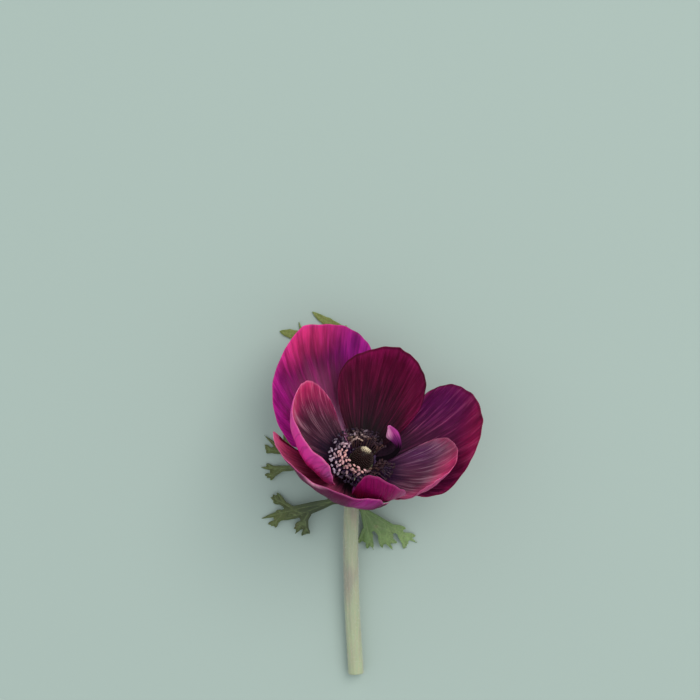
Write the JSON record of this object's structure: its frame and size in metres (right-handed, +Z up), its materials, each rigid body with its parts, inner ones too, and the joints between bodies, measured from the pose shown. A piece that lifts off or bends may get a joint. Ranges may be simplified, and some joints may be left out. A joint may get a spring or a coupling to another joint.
{
  "type": "anemone flower",
  "caption": "Open cup-shaped anemone bloom with broad overlapping petals, a dark domed centre in a ring of stamens, a collar of finely cut leaves and a short cut stem, lying down.",
  "frame": {"origin": "on the surface that the flower lies on, below the middle of its bounding box", "axes": "+Z up, the cut stem runs towards -Y and the bloom looks up and towards +Y"},
  "size_m": [0.083, 0.1386, 0.0578],
  "materials": {
    "petal": "satin, velvety",
    "ovary": "satin",
    "stamen": "matte",
    "stem": "matte, downy",
    "leaf": "matte"
  },
  "bodies": {
    "root": {"petal_back_left": "petal", "petal_back": "petal", "petal_right": "petal", "petal_right_inner": "petal", "petal_front": "petal", "petal_front_left": "petal", "petal_left_inner": "petal", "petaloid": "petal", "ovary": "ovary", "stamens": "stamen", "stem": "stem", "leaf_left": "leaf", "leaf_back": "leaf", "leaf_right": "leaf"}
  },
  "joints": []
}
